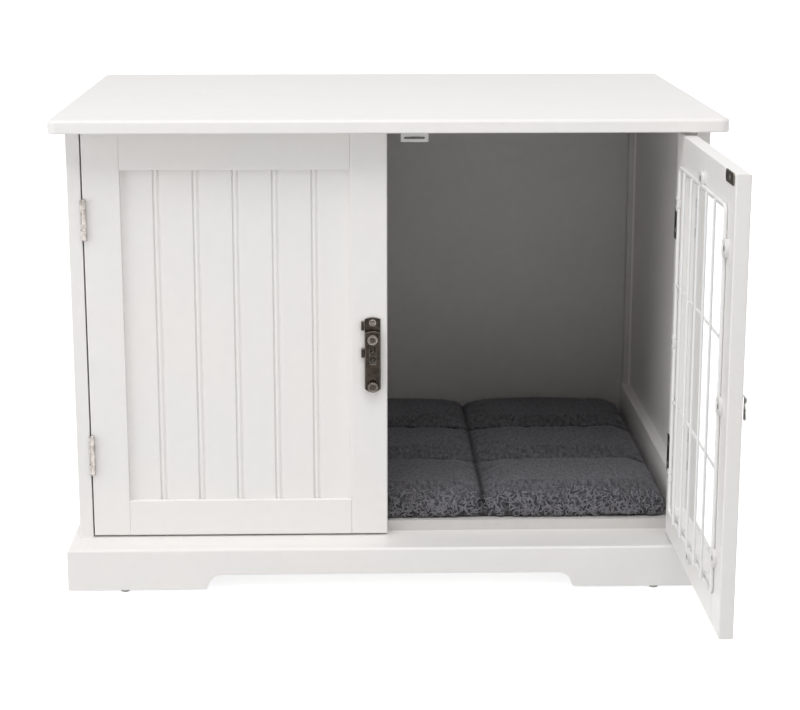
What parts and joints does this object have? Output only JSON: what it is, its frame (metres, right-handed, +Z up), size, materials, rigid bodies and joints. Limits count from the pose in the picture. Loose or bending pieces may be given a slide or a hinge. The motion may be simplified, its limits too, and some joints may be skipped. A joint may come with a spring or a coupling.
{
  "type": "indoor kennel",
  "caption": "White indoor kennel cabinet on an arched plinth, with a beadboard door, a wire grille door, a sprung swing latch and a quilted cushion.",
  "frame": {"origin": "on the floor at the middle of the footprint of the top panel", "axes": "+Z up, the doors face -Y, +X to the right as seen from the front; the right door stands open at rest"},
  "size_m": [0.73, 0.8189, 0.53],
  "materials": {
    "white_lacquer": "satin white lacquer",
    "fleece": "curly dark grey fleece",
    "white_wire": "white coated wire",
    "clip_plastic": "white plastic",
    "hinge_metal": "polished dark nickel",
    "screw_steel": "plated steel",
    "spring_steel": "spring steel",
    "latch_bronze": "dark antique bronze",
    "catch_plastic": "pale grey plastic",
    "magnet": "dark magnet",
    "glide_plastic": "grey plastic",
    "dowel_wood": "plain beech"
  },
  "bodies": {
    "cabinet": {"top_panel": "white_lacquer", "left_side_panel": "white_lacquer", "right_side_panel": "white_lacquer", "back_panel": "white_lacquer", "base_panel": "white_lacquer", "floor_panel": "white_lacquer", "plinth_front": "white_lacquer", "plinth_left": "white_lacquer", "plinth_right": "white_lacquer", "plinth_back": "white_lacquer", "glides": "glide_plastic", "left_floor_batten": "white_lacquer", "right_floor_batten": "white_lacquer", "corner_battens": "white_lacquer", "base_screws": "screw_steel", "top_dowels": "dowel_wood", "catch_housings": "catch_plastic", "catch_magnets": "magnet", "catch_screws": "screw_steel", "left_cabinet_leaves": "hinge_metal", "right_cabinet_leaves": "hinge_metal", "cabinet_leaf_screws": "screw_steel", "hinge_pins": "hinge_metal", "cushion": "fleece"},
    "left_door": {"left_hinge_stile": "white_lacquer", "left_latch_stile": "white_lacquer", "left_top_rail": "white_lacquer", "left_bottom_rail": "white_lacquer", "beadboard_panel": "white_lacquer", "left_door_leaves": "hinge_metal", "left_leaf_screws": "screw_steel", "left_strike_plate": "latch_bronze", "left_strike_screw": "screw_steel", "latch_base_plate": "latch_bronze", "latch_base_screws": "screw_steel", "latch_pivot": "latch_bronze"},
    "latch_swing": {"latch_arm": "latch_bronze", "latch_arm_cover": "latch_bronze", "latch_spring": "spring_steel"},
    "latch_slide": {"latch_bolt": "latch_bronze"},
    "right_door": {"right_hinge_stile": "white_lacquer", "right_free_stile": "white_lacquer", "right_top_rail": "white_lacquer", "right_bottom_rail": "white_lacquer", "wire_grille": "white_wire", "grille_clips": "clip_plastic", "clip_screws": "screw_steel", "right_door_leaves": "hinge_metal", "right_leaf_screws": "screw_steel", "right_strike_plate": "latch_bronze", "right_strike_screw": "screw_steel", "latch_keeper": "latch_bronze", "keeper_screws": "screw_steel"}
  },
  "joints": [
    {"name": "left_door_hinge", "type": "hinge", "parent": "cabinet", "child": "left_door", "pos_m": [-0.334, -0.2219, 0.2815], "axis": [0, 0, -1], "range_deg": [0, 170]},
    {"name": "right_door_hinge", "type": "hinge", "parent": "cabinet", "child": "right_door", "pos_m": [0.334, -0.2219, 0.2815], "axis": [0, 0, 1], "range_deg": [-90, 80]},
    {"name": "latch_arm_pivot", "type": "hinge", "parent": "left_door", "child": "latch_swing", "pos_m": [-0.0185, -0.2233, 0.28], "axis": [0, -1, 0], "range_deg": [0, 180]},
    {"name": "latch_bolt_slide", "type": "slide", "parent": "latch_swing", "child": "latch_slide", "axis": [0, 0, 1], "range_m": [0, 0.006], "stiffness_N_per_m": 150, "springref_m": -0.008, "deforming": ["latch_spring"]}
  ]
}
